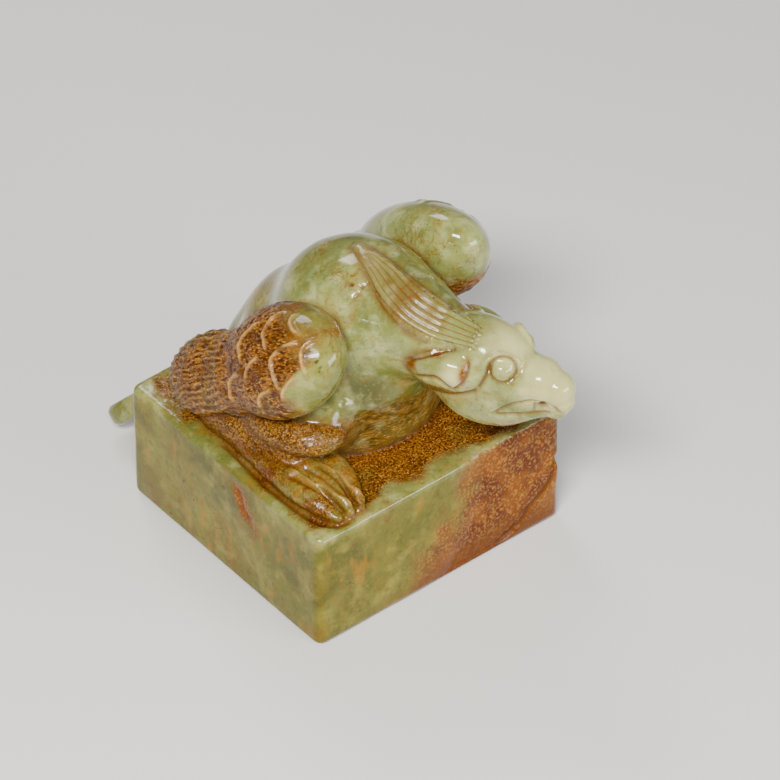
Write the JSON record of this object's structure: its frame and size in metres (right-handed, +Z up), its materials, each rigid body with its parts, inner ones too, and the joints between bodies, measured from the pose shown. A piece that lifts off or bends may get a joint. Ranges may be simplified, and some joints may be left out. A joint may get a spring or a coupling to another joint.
{
  "type": "jade seal stamp",
  "caption": "Square seal stamp in pale jade with russet skin, its grip carved as a crouching eagle with folded wings, hooked beak and fanned tail.",
  "frame": {"origin": "middle of the flat seal face, under the square block", "axes": "+Z up, -Y the way the bird looks, out over the block's front edge, +X to the bird's left"},
  "size_m": [0.0509, 0.0797, 0.0556],
  "materials": {
    "jade": "polished pale celadon nephrite with olive clouds and a rough russet-brown skin"
  },
  "bodies": {
    "root": {"jade_seal": "jade"}
  },
  "joints": []
}
